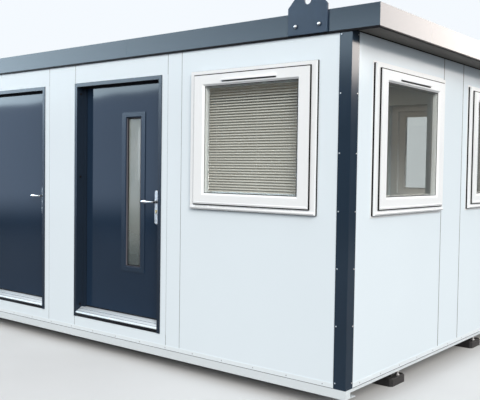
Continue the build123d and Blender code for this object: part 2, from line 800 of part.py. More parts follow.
def lifting_plate(plane, u):
    half = lifting_width / 2
    with BuildPart() as plate:
        with BuildSketch(plane.offset(fascia_out + lifting_thickness)):
            with BuildLine():
                Polyline(
                    (u - half, fascia_foot), (u + half, fascia_foot), (u + half, shoulder_z),
                    (u + crown_half, crown_z), (u - crown_half, crown_z), (u - half, shoulder_z),
                    close=True,
                )
            make_face()
            with Locations((u, fascia_top + eye_height)):
                Circle(eye_radius, mode=Mode.SUBTRACT)
        extrude(amount=-lifting_thickness)
        crown = plate.edges().filter_by(Axis.Y).group_by(Axis.Z)[-1]
        fillet(crown, radius=lifting_radius)
    return plate.part


with BuildPart() as lifting_plates:
    for plane in (front_wall, back_wall):
        for u in (-lifting_u, lifting_u):
            add(lifting_plate(plane, u))
save(lifting_plates, "lifting_plates")
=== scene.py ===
import math

import bpy
from mathutils import Matrix, Vector


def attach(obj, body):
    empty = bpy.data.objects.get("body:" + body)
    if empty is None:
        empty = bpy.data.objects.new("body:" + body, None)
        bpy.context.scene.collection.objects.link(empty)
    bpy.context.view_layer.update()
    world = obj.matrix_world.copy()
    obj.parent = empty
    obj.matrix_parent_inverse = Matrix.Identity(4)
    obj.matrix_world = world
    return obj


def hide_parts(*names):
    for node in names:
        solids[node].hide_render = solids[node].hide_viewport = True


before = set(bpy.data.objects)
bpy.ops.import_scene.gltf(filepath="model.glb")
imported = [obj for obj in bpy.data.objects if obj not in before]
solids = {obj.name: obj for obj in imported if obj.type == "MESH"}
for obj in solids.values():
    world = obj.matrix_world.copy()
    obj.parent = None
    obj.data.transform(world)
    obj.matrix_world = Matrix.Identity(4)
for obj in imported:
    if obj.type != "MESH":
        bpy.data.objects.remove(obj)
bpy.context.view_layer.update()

# Camera: it stands off the cabin's right front corner at head height, turned to the left along
# the front and tipped down slightly, with a lens a little longer than normal.
eye = Vector((5.4505, -5.8557, 1.6228))
yaw, pitch, roll = (math.radians(angle) for angle in (-38.751, -2.3405, 0.8158))
ahead = Vector((math.sin(yaw) * math.cos(pitch), math.cos(yaw) * math.cos(pitch), math.sin(pitch)))
level = Vector((math.cos(yaw), -math.sin(yaw), 0))
over = level.cross(ahead)
across = level * math.cos(roll) + over * math.sin(roll)
upward = over * math.cos(roll) - level * math.sin(roll)
lens = bpy.data.cameras.new("view_camera")
lens.sensor_fit = "HORIZONTAL"
lens.sensor_width = 36
lens.lens = 54.2
camera = bpy.data.objects.new("view_camera", lens)
bpy.context.scene.collection.objects.link(camera)
camera.matrix_world = Matrix.Translation(eye) @ Matrix((across, upward, -ahead)).transposed().to_4x4()
bpy.context.scene.camera = camera
bpy.context.scene.view_settings.view_transform = "Standard"


# Studio air: an even pale surround that lights every side softly, and that glass and metal
# mirror as white.
def work_out(tree, sum_kind, *values, clamp=False):
    """A sum on values, each one a number or what another node gives."""
    step = tree.nodes.new("ShaderNodeMath")
    step.operation = sum_kind
    step.use_clamp = clamp
    for socket, value in zip(step.inputs, values):
        if isinstance(value, (int, float)):
            socket.default_value = value
        else:
            tree.links.new(value, socket)
    return step.outputs[0]


air_light = 0.82
studio = bpy.data.worlds.new("soft_studio")
bpy.context.scene.world = studio
studio.use_nodes = True
air = studio.node_tree
surround = air.nodes["Background"]
surround.inputs["Color"].default_value = (0.91, 0.955, 1.0, 1)
ray = air.nodes.new("ShaderNodeLightPath").outputs
mirrored = work_out(air, "MAXIMUM", ray["Is Camera Ray"], ray["Is Glossy Ray"])
through = work_out(air, "MAXIMUM", mirrored, ray["Is Transmission Ray"])
power = work_out(air, "MULTIPLY_ADD", through, 1 - air_light, air_light)
air.links.new(power, surround.inputs["Strength"])

# Key light: one broad soft lamp high to the right of the front, so that the front and the
# right-hand end are lit alike and the ground under the cabin lies in shadow.
key = bpy.data.lights.new("broad_key", "SUN")
key.energy = 2.65
key.angle = math.radians(32)
key.color = (1.0, 0.94, 0.86)
key_lamp = bpy.data.objects.new("broad_key", key)
bpy.context.scene.collection.objects.link(key_lamp)
key_lamp.rotation_euler = Vector((0.69, -0.58, 0.43)).to_track_quat("Z", "Y").to_euler()

# Room light: a weak warm panel under the ceiling, nearly as large as the room, so that what shows
# behind the glass isn't black.
room = bpy.data.lights.new("room_light", "AREA")
room.shape = "RECTANGLE"
room.size = 5.0
room.size_y = 2.4
room.energy = 16
room.color = (1.0, 0.84, 0.66)
room_lamp = bpy.data.objects.new("room_light", room)
bpy.context.scene.collection.objects.link(room_lamp)
room_lamp.location = (0, 0, 2.56)


# Mirrored sky: a great dome that only gloss can see. It is dark at eye level and bright above,
# cool towards the front and warm behind, so that coated steel and glass have something to show.
def climb(tree, value, low, high):
    """A share that grows from none to all as a value goes from low to high."""
    rise = tree.nodes.new("ShaderNodeMapRange")
    rise.interpolation_type = "SMOOTHSTEP"
    rise.inputs["From Min"].default_value = low
    rise.inputs["From Max"].default_value = high
    tree.links.new(value, rise.inputs["Value"])
    return rise.outputs["Result"]


def part_way(tree, share, first, second):
    """A colour between two others, by a share."""
    mixed = tree.nodes.new("ShaderNodeMix")
    mixed.data_type = "RGBA"
    tree.links.new(share, mixed.inputs[0])
    for number, colour in ((6, first), (7, second)):
        if isinstance(colour, tuple):
            mixed.inputs[number].default_value = colour
        else:
            tree.links.new(colour, mixed.inputs[number])
    return mixed.outputs[2]


def clouds(tree, place, scale, detail=2):
    """Soft uneven patches over a place."""
    noise = tree.nodes.new("ShaderNodeTexNoise")
    noise.inputs["Scale"].default_value = scale
    noise.inputs["Detail"].default_value = detail
    tree.links.new(place, noise.inputs["Vector"])
    return noise.outputs["Fac"]


bpy.ops.object.select_all(action="DESELECT")
bpy.ops.mesh.primitive_uv_sphere_add(segments=48, ring_count=24, radius=300, location=(0, 0, 1.6))
dome = bpy.context.object
dome.name = "mirrored_sky"
dome.visible_camera = False
dome.visible_diffuse = False
dome.visible_transmission = False
dome.visible_shadow = False
dome.visible_volume_scatter = False
skylight = bpy.data.materials.new("mirrored_sky")
skylight.use_nodes = True
sky = skylight.node_tree
sky.nodes.remove(sky.nodes["Principled BSDF"])
place = sky.nodes.new("ShaderNodeTexCoord").outputs["Object"]
aim = sky.nodes.new("ShaderNodeVectorMath")
aim.operation = "NORMALIZE"
sky.links.new(place, aim.inputs[0])
split = sky.nodes.new("ShaderNodeSeparateXYZ")
sky.links.new(aim.outputs["Vector"], split.inputs["Vector"])
side, depth, height = (split.outputs[axis] for axis in "XYZ")
sloping = work_out(sky, "MULTIPLY_ADD", side, -0.236, height)
uneven = work_out(sky, "MULTIPLY_ADD", clouds(sky, aim.outputs["Vector"], 9), 0.030, sloping)
shade = (0.08, 0.09, 0.10, 1)
warm_shade = (0.10, 0.10, 0.10, 1)
mid_band = part_way(sky, climb(sky, height, -0.080, -0.030), shade, (1.6, 2.0, 2.6, 1))
eye_level = part_way(sky, climb(sky, side, -0.64, -0.70), shade, mid_band)
cool_sky = part_way(sky, climb(sky, side, -0.35, -0.80), (1.2, 1.5, 1.7, 1), (6.0, 7.5, 8.5, 1))
low_glow = part_way(sky, climb(sky, sloping, 0.300, 0.325), (8.0, 10.0, 11.5, 1), cool_sky)
front = part_way(sky, climb(sky, uneven, 0.289, 0.293), eye_level, low_glow)
behind = part_way(sky, climb(sky, height, 0.124, 0.136), warm_shade, (10.2, 9.4, 8.8, 1))
low_sky = part_way(sky, climb(sky, depth, -0.2, 0.4), front, behind)
whole_sky = part_way(sky, climb(sky, height, 0.30, 0.45), low_sky, (1.05, 1.08, 1.12, 1))
glow = sky.nodes.new("ShaderNodeEmission")
sky.links.new(whole_sky, glow.inputs["Color"])
sky.links.new(glow.outputs["Emission"], sky.nodes["Material Output"].inputs["Surface"])
skylight.cycles.emission_sampling = "NONE"
dome.data.materials.append(skylight)


# Floor: a pale matt sheet on which the cabin stands, fading into the surround far out. It
# throws back less light than it shows, so that undersides and paint seen low stay in shade.
def tones(tree, share, dark, light, low=0, high=1):
    """A colour from dark to light as a share goes from low to high."""
    ramp = tree.nodes.new("ShaderNodeValToRGB")
    first, last = ramp.color_ramp.elements
    first.position = low
    last.position = high
    first.color = dark
    last.color = light
    tree.links.new(share, ramp.inputs["Fac"])
    return ramp.outputs["Color"]


def show(tree, share, under, over):
    """Ends a finish in two layers, with the second one seen by a share."""
    blend = tree.nodes.new("ShaderNodeMixShader")
    tree.links.new(share, blend.inputs["Fac"])
    tree.links.new(under, blend.inputs[1])
    tree.links.new(over, blend.inputs[2])
    tree.links.new(blend.outputs["Shader"], tree.nodes["Material Output"].inputs["Surface"])


bpy.ops.object.select_all(action="DESELECT")
bpy.ops.mesh.primitive_circle_add(vertices=96, radius=40, fill_type="NGON", location=(0, 0, 0))
floor = bpy.context.object
floor.name = "studio_floor"
sheet = bpy.data.materials.new("studio_floor")
sheet.use_nodes = True
tree = sheet.node_tree
place = tree.nodes.new("ShaderNodeTexCoord").outputs["Object"]
ground = tree.nodes["Principled BSDF"]
ground.inputs["Roughness"].default_value = 0.9
ground.inputs["Specular IOR Level"].default_value = 0.1
tint = tones(tree, clouds(tree, place, 1.2), (0.70, 0.71, 0.72, 1), (0.76, 0.77, 0.78, 1))
ray = tree.nodes.new("ShaderNodeLightPath").outputs
straight = work_out(tree, "MAXIMUM", ray["Is Camera Ray"], ray["Is Transmission Ray"])
shown = work_out(tree, "MULTIPLY_ADD", ray["Is Glossy Ray"], 0.3, straight, clamp=True)
tree.links.new(part_way(tree, shown, (0.12, 0.12, 0.12, 1), tint), ground.inputs["Base Color"])
reach = tree.nodes.new("ShaderNodeVectorMath")
reach.operation = "LENGTH"
tree.links.new(place, reach.inputs[0])
fade = climb(tree, reach.outputs["Value"], 7, 20)
seen_fade = work_out(tree, "SUBTRACT", fade, ray["Is Diffuse Ray"], clamp=True)
clear = tree.nodes.new("ShaderNodeBsdfTransparent")
show(tree, seen_fade, ground.outputs["BSDF"], clear.outputs["BSDF"])
floor.data.materials.append(sheet)


# Feet: moulded black pads under the two bearers, dull and slightly dusty. Each carries a bright
# threaded stud with a nut that locks it to the pad and one that holds the bearer. The outer pads
# have a second stud at the edge, under the end rail.
def dents(tree, height, strength, deep):
    """The small bumps that a height makes in a skin."""
    bump = tree.nodes.new("ShaderNodeBump")
    bump.inputs["Strength"].default_value = strength
    bump.inputs["Distance"].default_value = deep
    tree.links.new(height, bump.inputs["Height"])
    return bump.outputs["Normal"]


def coat(name, colour, rough, spread=0.05, patch=0.7, relief=0.1, grain=0.004, metal=0.0, shine=0.5):
    """A finish whose tone, smoothness and skin vary a little from place to place."""
    finish = bpy.data.materials.new(name)
    finish.use_nodes = True
    tree = finish.node_tree
    shader = tree.nodes["Principled BSDF"]
    shader.inputs["Metallic"].default_value = metal
    shader.inputs["Specular IOR Level"].default_value = shine
    place = tree.nodes.new("ShaderNodeTexCoord").outputs["Object"]
    dark = [part * (1 - spread) for part in colour] + [1]
    light = [min(1, part * (1 + spread)) for part in colour] + [1]
    tone = tones(tree, clouds(tree, place, 1 / patch, detail=5), dark, light, 0.3, 0.7)
    tree.links.new(tone, shader.inputs["Base Color"])
    skin = clouds(tree, place, 1 / grain)
    dull = tree.nodes.new("ShaderNodeMapRange")
    dull.inputs["From Min"].default_value = 0.3
    dull.inputs["From Max"].default_value = 0.7
    dull.inputs["To Min"].default_value = rough * 0.85
    dull.inputs["To Max"].default_value = min(1, rough * 1.15)
    tree.links.new(skin, dull.inputs["Value"])
    tree.links.new(dull.outputs["Result"], shader.inputs["Roughness"])
    tree.links.new(dents(tree, skin, relief, grain * 0.1), shader.inputs["Normal"])
    return finish


def dress(finish, *names):
    """Gives solids of the frame a finish."""
    for name in names:
        for slot in solids[name].material_slots:
            slot.material = finish


def ease(piece, size):
    """Rounds a piece's sharp edges and smooths what is nearly flat."""
    bpy.ops.object.select_all(action="DESELECT")
    piece.select_set(True)
    bpy.context.view_layer.objects.active = piece
    if size:
        soft = piece.modifiers.new("eased", "BEVEL")
        soft.width = size
        soft.segments = 2
        soft.limit_method = "ANGLE"
        soft.angle_limit = math.radians(35)
        bpy.ops.object.modifier_apply(modifier="eased")
    bpy.ops.object.shade_smooth_by_angle(angle=math.radians(40))


def settle():
    """Puts the place, turn and size of the piece in hand into its mesh."""
    bpy.ops.object.transform_apply(location=True, rotation=True, scale=True)


def rod(name, radius, start, end, sides=24):
    """A round or many-sided bar between two points."""
    start, end = Vector(start), Vector(end)
    bpy.ops.object.select_all(action="DESELECT")
    turn = (end - start).to_track_quat("Z", "Y").to_euler()
    bpy.ops.mesh.primitive_cylinder_add(
        vertices=sides, radius=radius, depth=(end - start).length, location=(start + end) / 2, rotation=turn,
    )
    piece = bpy.context.object
    piece.name = name
    settle()
    return piece


def gather(name, pieces):
    """Joins loose pieces into one named piece."""
    bpy.ops.object.select_all(action="DESELECT")
    for piece in pieces:
        piece.select_set(True)
    bpy.context.view_layer.objects.active = pieces[0]
    bpy.ops.object.join()
    settle()
    whole = bpy.context.object
    whole.name = name
    return whole


foot_black = coat("foot_black", (0.014, 0.014, 0.016), 0.75, spread=0.35, patch=0.06, relief=0.4)
dress(foot_black, "support_feet")
stud_zinc = coat("stud_zinc", (0.66, 0.67, 0.68), 0.3, spread=0.06, patch=0.03, metal=1.0)
dress(stud_zinc, "foot_studs")
tree = stud_zinc.node_tree
thread = tree.nodes.new("ShaderNodeTexWave")
thread.bands_direction = "Z"
thread.inputs["Scale"].default_value = 105
tree.links.new(tree.nodes["Texture Coordinate"].outputs["Object"], thread.inputs["Vector"])
tree.links.new(thread.outputs["Fac"], tree.nodes["Bump"].inputs["Height"])
tree.nodes["Bump"].inputs["Strength"].default_value = 0.6
tree.nodes["Bump"].inputs["Distance"].default_value = 0.001
nut_zinc = coat("nut_zinc", (0.62, 0.63, 0.64), 0.35, spread=0.08, patch=0.02, metal=1.0)
nut_radius, nut_height = 0.0205, 0.018
nuts = []
for x in (-2.880, 0, 2.880):
    for y in (-0.721, 0.879):
        for z in (0.0625, 0.128):
            nuts.append(rod("nut", nut_radius, (x, y, z), (x, y, z + nut_height), sides=6))
stud_nuts = gather("stud_nuts", nuts)
ease(stud_nuts, 0.0015)
stud_nuts.data.materials.append(nut_zinc)
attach(stud_nuts, "root")
stud_lengths = ((0.0085, 0.0600, 0.1580, 24), (0.0142, 0.0622, 0.0722, 6), (0.0142, 0.1455, 0.1559, 6))
studs = []
for x in (-2.957, 2.957):
    for y in (-0.775, 0.775):
        for radius, low, high, sides in stud_lengths:
            studs.append(rod("stud", radius, (x, y, low), (x, y, high), sides))
levelling_studs = gather("levelling_studs", studs)
ease(levelling_studs, 0.001)
levelling_studs.data.materials.append(stud_zinc)
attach(levelling_studs, "root")

# Chassis: two rolled I-section bearers over the feet and folded channel joists across them, all
# in dark primer that is a little uneven.
primer = coat("dark_primer", (0.08, 0.085, 0.09), 0.6, spread=0.15, patch=0.25, relief=0.25)
dress(primer, "chassis_bearers", "floor_joists")

# Base rails: folded steel channels that show as the white skirt under the long walls and as a
# shallow lip under the ends, painted in the same satin white, set darker than the flashings' white
# as painted shade low under the walls.
rail_white = coat("rail_white", (0.70, 0.76, 0.80), 0.38, spread=0.02, patch=0.9, relief=0.08, shine=0.2)
dress(rail_white, "base_rails_long", "base_rails_end")


# Floor deck: boards of pressed wood laid over the joists and sealed with clear varnish, with
# faint darker grain along the cabin.
def draw_out(finish, patches, scale):
    """Stretches one of a finish's patterns along an axis."""
    tree = finish.node_tree
    stretch = tree.nodes.new("ShaderNodeMapping")
    stretch.inputs["Scale"].default_value = scale
    tree.links.new(tree.nodes["Texture Coordinate"].outputs["Object"], stretch.inputs["Vector"])
    tree.links.new(stretch.outputs["Vector"], tree.nodes[patches].inputs["Vector"])


deck = coat("sealed_board", (0.36, 0.28, 0.20), 0.45, spread=0.2, patch=0.08, relief=0.15)
draw_out(deck, "Noise Texture", (0.12, 1, 1))
dress(deck, "floor_deck")

# Base flashings: a folded white strip over the foot of each wall, held by a row of small
# pressed screws with washers. Two more screws hold each long rail at its ends.
long_face, end_face = 1.690, 3.029
walls = {"front": (0, long_face), "right": (90, end_face), "back": (180, long_face), "left": (270, end_face)}


def set_on_walls(name, piece, spots):
    """Copies a piece that faces the front at the origin to spots (wall, along, height)."""
    copies = []
    for wall, along, height in spots:
        heading, face = walls[wall]
        copy = piece.copy()
        copy.data = piece.data.copy()
        bpy.context.scene.collection.objects.link(copy)
        turn = Matrix.Rotation(math.radians(heading), 4, "Z")
        copy.matrix_world = turn @ Matrix.Translation((along, -face, height))
        copies.append(copy)
    bpy.data.objects.remove(piece)
    return gather(name, copies)


def mark_faces(piece, wanted):
    """Opens a piece for editing with only the faces marked whose direction is wanted."""
    bpy.ops.object.mode_set(mode="EDIT")
    bpy.ops.mesh.select_mode(type="FACE")
    bpy.ops.mesh.select_all(action="DESELECT")
    bpy.ops.object.mode_set(mode="OBJECT")
    for face in piece.data.polygons:
        face.select = wanted(face.normal)
    bpy.ops.object.mode_set(mode="EDIT")


def faces_front(normal):
    """Whether a face looks to the front."""
    return normal.y < -0.9


def head(name, radius, out, height, sides=12, crown=0.35):
    """A round fastener head facing the front at the origin, domed by two insets."""
    piece = rod(name, radius, (0, -out, 0), (0, -out - height, 0), sides)
    mark_faces(piece, faces_front)
    bpy.ops.mesh.inset(thickness=radius * 0.25, depth=height * crown)
    bpy.ops.mesh.inset(thickness=radius * 0.35, depth=height * crown * 0.4)
    bpy.ops.object.mode_set(mode="OBJECT")
    return piece


flashing_white = coat(
    "flashing_white", (0.78, 0.85, 0.90), 0.36, spread=0.02, patch=0.8, relief=0.08, shine=0.2,
)
dress(flashing_white, "base_flashings")
screw_zinc = coat("screw_zinc", (0.34, 0.36, 0.39), 0.4, spread=0.05, patch=0.05)
screw_gap = 0.3
spots = []
for wall, half in (("front", 2.85), ("back", 2.85), ("right", 1.5), ("left", 1.5)):
    count = round(2 * half / screw_gap)
    spots += [(wall, -half + number * 2 * half / count, 0.178) for number in range(count + 1)]
spots += [(wall, way * 2.947, 0.1435) for wall in ("front", "back") for way in (-1, 1)]
flashing_screws = set_on_walls("flashing_screws", head("screw", 0.0045, 0.002, 0.0016), spots)
ease(flashing_screws, 0)
flashing_screws.data.materials.append(screw_zinc)
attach(flashing_screws, "root")

# Corner angles: folded anthracite steel in one length from base rail to fascia, with bright
# blind rivets along the outer edge of each leg.
anthracite = coat(
    "trim_anthracite", (0.019, 0.034, 0.056), 0.14, spread=0.06, patch=0.5, relief=0.05, shine=0.25,
)
dress(anthracite, "corner_angles")
rivet_heights = (0.199, 0.585, 0.972, 1.358, 1.746, 2.144, 2.532)
spots = []
for wall, along in (("front", 2.951), ("back", 2.951), ("right", 1.612), ("left", 1.612)):
    spots += [(wall, way * along, height) for way in (-1, 1) for height in rivet_heights]
corner_rivets = set_on_walls("corner_rivets", head("rivet", 0.0048, 0.003, 0.002), spots)
ease(corner_rivets, 0)
rivet_metal = coat("rivet_aluminium", (0.60, 0.61, 0.63), 0.3, spread=0.06, patch=0.02, metal=1.0)
corner_rivets.data.materials.append(rivet_metal)
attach(corner_rivets, "root")

# Wall panels: insulated panels with smooth coated steel skins in cool white, butted side by
# side, with a thin line of dark sealant in each bevelled joint and along the base rails.
panel_white = coat(
    "panel_white", (0.775, 0.865, 0.935), 0.14, spread=0.015, patch=1.6, relief=0.02, grain=0.006, shine=0.05,
)
dress(
    panel_white, "front_wall_window_panels", "front_wall_strips", "front_wall_over_doors",
    "front_wall_under_doors", "front_wall_beside_doors", "back_wall_panels", "back_wall_strips",
    "right_wall_panels", "right_wall_strip", "left_wall_panels", "left_wall_strip",
)


def block(name, low, high):
    """A bar between two opposite corners."""
    bpy.ops.object.select_all(action="DESELECT")
    middle = [(a + b) / 2 for a, b in zip(low, high)]
    spans = [b - a for a, b in zip(low, high)]
    bpy.ops.mesh.primitive_cube_add(size=1, location=middle, scale=spans)
    piece = bpy.context.object
    piece.name = name
    settle()
    return piece


sealant = coat("joint_sealant", (0.12, 0.125, 0.14), 0.6, spread=0.1, patch=0.1, relief=0.3)
joint_foot, joint_top = 0.196, 2.556
over_door, under_door = 2.383, 0.281
rail_joint = (0.1602, 0.1636)
joint_low = (-0.0027, 0.0005, joint_foot)
joint_high = (0.0027, 0.004, joint_top)
long_joints = [("front", -1.504), ("front", 1.504)]
long_joints += [("back", along) for along in (-1.504, -1.351, -0.190, 0.190, 1.351, 1.504)]
end_joints = [(wall, along) for wall in ("right", "left") for along in (-0.203, 0.203)]
hinge_joints = [("front", -1.351), ("front", 0.190)]
bead_runs = (
    (joint_low, joint_high, 0.001, long_joints),
    ((-0.0045, -0.0005, joint_foot), (0.0045, 0.0005, joint_top), 0.0004, end_joints),
    ((-0.0027, 0.0005, over_door), joint_high, 0.001, hinge_joints),
    (joint_low, (0.0027, 0.004, under_door), 0.001, hinge_joints),
    (joint_low, joint_high, 0.001, [("front", -0.190), ("front", 1.351)]),
    ((-2.935, -0.0054, rail_joint[0]), (2.935, -0.0021, rail_joint[1]), 0.001, [("front", 0), ("back", 0)]),
    ((-1.596, -0.0054, rail_joint[0]), (1.596, -0.0021, rail_joint[1]), 0.001, [("right", 0), ("left", 0)]),
)
beads = []
for low, high, soft, joints in bead_runs:
    bead = block("bead", low, high)
    ease(bead, soft)
    beads.append(set_on_walls("beads", bead, [(wall, along, 0) for wall, along in joints]))
joint_sealant = gather("joint_sealant", beads)
joint_sealant.data.materials.append(sealant)
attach(joint_sealant, "root")

# Window frames: white moulded sections welded at the corners, standing proud of the wall, with
# a rounded nose on the sill and a dark sealing line where they meet the panel.
window_middle = 1.848
half_w, half_h = 1.146 / 2, 1.052 / 2
window_spots = [
    (wall, along, window_middle)
    for wall, along in (
        ("front", 2.2035), ("front", -2.2035), ("back", 2.2035), ("back", -2.2035),
        ("right", -0.813), ("right", 0.896), ("left", 0.813), ("left", -0.896),
    )
]


def hoop(name, left, right, foot, top, band, out, back, face=0):
    """A rectangular ring on a face that looks to the front, from out of it to back in it."""
    bpy.ops.object.select_all(action="DESELECT")
    middle = ((left + right) / 2, -face - out, (foot + top) / 2)
    bpy.ops.mesh.primitive_plane_add(size=1, location=middle, rotation=(math.pi / 2, 0, 0))
    piece = bpy.context.object
    piece.name = name
    piece.scale = (right - left, top - foot, 1)
    settle()
    bpy.ops.object.mode_set(mode="EDIT")
    bpy.ops.mesh.select_mode(type="FACE")
    bpy.ops.mesh.select_all(action="SELECT")
    bpy.ops.mesh.inset(thickness=band, depth=0)
    bpy.ops.mesh.delete(type="FACE")
    bpy.ops.mesh.select_all(action="SELECT")
    bpy.ops.mesh.extrude_region_move(TRANSFORM_OT_translate={"value": (0, out + back, 0)})
    bpy.ops.mesh.select_all(action="SELECT")
    bpy.ops.mesh.normals_make_consistent(inside=False)
    bpy.ops.object.mode_set(mode="OBJECT")
    return piece


def hoop_round(name, width, height, band, out, back):
    """A ring whose outer edge is half a width and half a height from a window's middle."""
    return hoop(name, -width, width, -height, height, band, out, back)


moulded_white = coat(
    "moulded_white", (0.88, 0.91, 0.94), 0.28, spread=0.015, patch=0.5, relief=0.05, shine=0.05,
)
dress(moulded_white, "window_frames", "window_sashes")
frame_nose = (0.010, half_w - 0.003, 0.0270, 0.013)
sash_nose = (0.009, 0.522, 0.0385, 0.053)
noses = []
for radius, half_length, out, rise in (frame_nose, sash_nose):
    nose_foot = rise - half_h
    nose = rod("nose", radius, (-half_length, -out, nose_foot), (half_length, -out, nose_foot))
    ease(nose, 0.002)
    noses.append(nose)
sill_noses = set_on_walls("sill_noses", gather("nose_pair", noses), window_spots)
sill_noses.data.materials.append(moulded_white)
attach(sill_noses, "root")
# One black for the rubber seals, gaskets and caps, and for the strips that paint deep shade.
rubber_and_shade_black = coat("rubber_and_shade_black", (0.006, 0.006, 0.008), 0.6, spread=0.2, patch=0.05, relief=0.2, shine=0.12)
line = hoop_round("line", half_w + 0.0035, half_h + 0.0035, 0.0034, 0.013, -0.0002)
ease(line, 0.001)
frame_seals = set_on_walls("frame_seals", line, window_spots)
frame_seals.data.materials.append(rubber_and_shade_black)
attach(frame_seals, "root")

# Cover strips: thin white folded angles over the cut edge of the panel, all round the frames of
# the four end windows.
strip = hoop_round("strip", half_w + 0.018, half_h + 0.018, 0.013, 0.0022, -0.0002)
ease(strip, 0.0008)
cover_strips = set_on_walls("cover_strips", strip, window_spots[4:])
cover_strips.data.materials.append(moulded_white)
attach(cover_strips, "root")

# Drain caps: two small oval hoods of the same white plastic, pressed onto the face of each sill
# over its water slots.
cap = head("cap", 0.011, 0.028, 0.005, sides=20)
cap.scale = (1.6, 1, 0.62)
settle()
spots = [(wall, along + shift, 1.344) for wall, along, middle in window_spots for shift in (-0.386, 0.386)]
drain_caps = set_on_walls("drain_caps", cap, spots)
ease(drain_caps, 0)
drain_caps.data.materials.append(moulded_white)
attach(drain_caps, "root")

# Sash seals: a black rubber flipper pushed into the frame's face, which closes the gap round
# each sash. It is wider than the gap and lies over the frame's inner edge, so that it also paints
# the shadow line round each sash.
lap = 0.0035
line = hoop("line", -0.531 - lap, 0.531 + lap, -0.488 - lap, 0.496 + lap, 0.0082, 0.0375, -0.0282)
ease(line, 0.001)
sash_seals_and_shade = set_on_walls("sash_seals_and_shade", line, window_spots)
sash_seals_and_shade.data.materials.append(rubber_and_shade_black)
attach(sash_seals_and_shade, "root")

# Glazing: a sealed unit of two panes with a bright spacer round its edge, held by a bead and a
# thin black gasket.
left, right, foot, top = -0.427, 0.427, -0.401, 0.409
line = hoop("line", left, right, foot, top, 0.0045, 0.0325, -0.0302)
ease(line, 0.001)
glazing_gaskets = set_on_walls("glazing_gaskets", line, window_spots)
glazing_gaskets.data.materials.append(rubber_and_shade_black)
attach(glazing_gaskets, "root")
inset = 0.002
line = hoop("line", left + inset, right - inset, foot + inset, top - inset, 0.010, -0.0055, 0.012)
ease(line, 0.001)
spacer_bars = set_on_walls("spacer_bars", line, window_spots)
spacer_metal = coat("spacer_aluminium", (0.70, 0.71, 0.72), 0.35, spread=0.05, patch=0.05, metal=0.8)
spacer_bars.data.materials.append(spacer_metal)
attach(spacer_bars, "root")
clear_glass = bpy.data.materials.new("clear_glass")
clear_glass.use_nodes = True
tree = clear_glass.node_tree
tree.nodes.remove(tree.nodes["Principled BSDF"])
place = tree.nodes.new("ShaderNodeTexCoord").outputs["Object"]
ripple = clouds(tree, place, 2.2)
facing = tree.nodes.new("ShaderNodeLayerWeight")
facing.inputs["Blend"].default_value = 0.5
steep = work_out(tree, "POWER", facing.outputs["Facing"], 4)
clear = tree.nodes.new("ShaderNodeBsdfTransparent")
tint = tones(tree, ripple, (0.89, 0.90, 0.89, 1), (0.92, 0.93, 0.92, 1))
tree.links.new(tint, clear.inputs["Color"])
mirror = tree.nodes.new("ShaderNodeBsdfGlossy")
mirror.inputs["Roughness"].default_value = 0.02
tree.links.new(dents(tree, ripple, 0.03, 0.001), mirror.inputs["Normal"])
share = work_out(tree, "MULTIPLY_ADD", steep, 0.9, 0.035)
show(tree, share, clear.outputs["BSDF"], mirror.outputs["BSDF"])
dress(clear_glass, "window_glass")


# Slot vents: a white moulded hood on the top rail of each sash, with a black strip in the slot
# under it that stands for the insect mesh and paints the shade under the hood.
def shave(point, outward):
    """Cuts off what lies beyond a plane from the piece in hand, and closes the cut."""
    bpy.ops.object.mode_set(mode="EDIT")
    bpy.ops.mesh.select_mode(type="FACE")
    bpy.ops.mesh.select_all(action="SELECT")
    bpy.ops.mesh.bisect(plane_co=point, plane_no=outward, use_fill=True, clear_outer=True)
    bpy.ops.object.mode_set(mode="OBJECT")


hood = block("hood", (-0.25, -0.0575, 0.4405), (0.25, -0.0452, 0.4545))
shave((0, -0.0575, 0.4485), (0, -0.8, 0.6))
ease(hood, 0.002)
vent_hoods = set_on_walls("vent_hoods", hood, window_spots)
vent_hoods.data.materials.append(moulded_white)
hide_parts("window_vents")
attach(vent_hoods, "root")
mesh_and_shade_strip = block("mesh_and_shade_strip", (-0.249, -0.0495, 0.4325), (0.249, -0.0452, 0.4403))
ease(mesh_and_shade_strip, 0.001)
vent_mesh_and_shade = set_on_walls("vent_mesh_and_shade", mesh_and_shade_strip, window_spots)
vent_mesh_and_shade.data.materials.append(rubber_and_shade_black)
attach(vent_mesh_and_shade, "root")

# Blinds: pressed slats of pale painted aluminium hung on ladder cords from a head rail, lowered
# to the sill behind the two front windows.
slat_pitch, slat_count, slat_tilt = 0.0205, 47, 31
bpy.ops.object.select_all(action="DESELECT")
bpy.ops.mesh.primitive_grid_add(x_subdivisions=1, y_subdivisions=4, size=1, location=(0, 0, 0))
slat = bpy.context.object
slat.name = "slat"
slat.scale = (0.998, 0.0245, 1)
settle()
bpy.ops.object.mode_set(mode="EDIT")
bpy.ops.mesh.select_mode(type="VERT")
for reach, lift in ((0.001, 0.0007), (0.007, 0.0021)):
    bpy.ops.mesh.select_all(action="DESELECT")
    bpy.ops.object.mode_set(mode="OBJECT")
    for corner in slat.data.vertices:
        corner.select = abs(corner.co.y) < reach
    bpy.ops.object.mode_set(mode="EDIT")
    bpy.ops.transform.translate(value=(0, 0, lift))
bpy.ops.object.mode_set(mode="OBJECT")
slat.rotation_euler = (math.radians(slat_tilt), 0, 0)
slat.location = (0, 0.0745, 0.497)
settle()
row = slat.modifiers.new("row", "ARRAY")
row.count = slat_count
row.use_relative_offset = False
row.use_constant_offset = True
row.constant_offset_displace = (0, 0, -slat_pitch)
bpy.ops.object.modifier_apply(modifier="row")
bpy.ops.object.shade_smooth_by_angle(angle=math.radians(40))
rail = block("rail", (-0.5015, 0.0625, 0.505), (0.5015, 0.0868, 0.5245))
ease(rail, 0.002)
foot_rail = block("foot_rail", (-0.4995, 0.0635, -0.4745), (0.4995, 0.0855, -0.4645))
ease(foot_rail, 0.003)
cords = []
